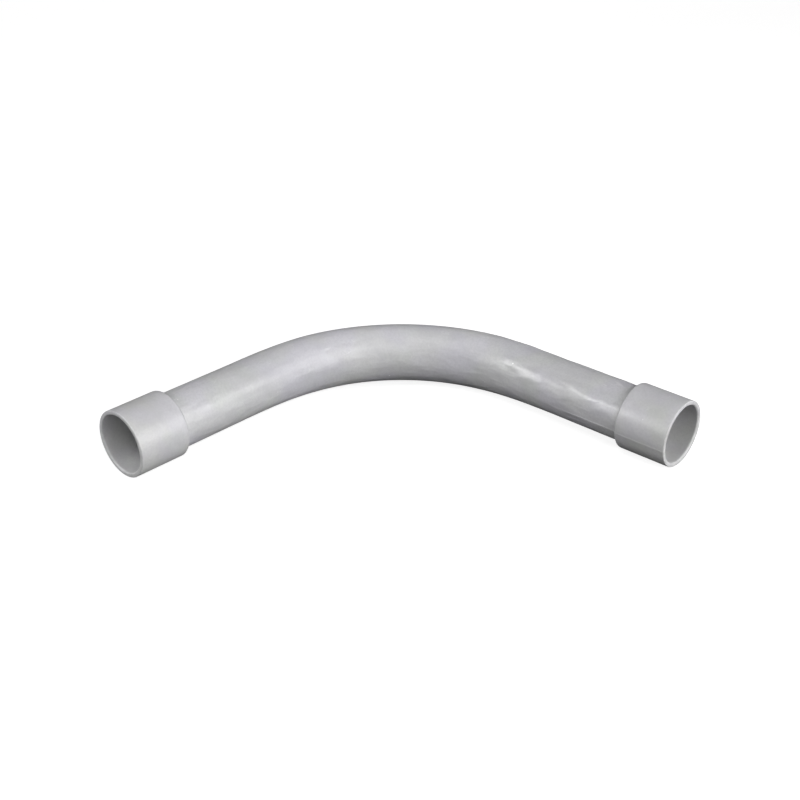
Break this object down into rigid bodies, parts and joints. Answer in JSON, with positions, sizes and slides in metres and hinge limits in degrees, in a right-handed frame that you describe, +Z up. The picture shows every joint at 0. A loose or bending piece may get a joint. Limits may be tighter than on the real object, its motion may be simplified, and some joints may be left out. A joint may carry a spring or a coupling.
{
  "type": "pvc conduit elbow",
  "caption": "Right-angle sweep elbow for rigid electrical conduit: a bent PVC tube with a cemented slip coupling on each end, open right through for pulling cables round a corner.",
  "frame": {"origin": "on the surface that the elbow lies on, under the middle of its box", "axes": "+Z up, square to the plane of the bend; the right leg's mouth faces +X and the left leg's mouth faces -Y; the outside of the bend is towards -X and +Y"},
  "size_m": [0.1778, 0.1778, 0.0296],
  "materials": {
    "conduit": "light grey extruded rigid PVC, satin, with faint draw lines and soft waves where it was bent",
    "coupling": "light grey moulded rigid PVC, satin, square-cut ends",
    "cement": "cured clear solvent cement, glossy"
  },
  "bodies": {
    "root": {"bend_tube": "conduit", "left_coupling": "coupling", "right_coupling": "coupling", "left_cement_joint": "cement", "right_cement_joint": "cement"}
  },
  "joints": []
}
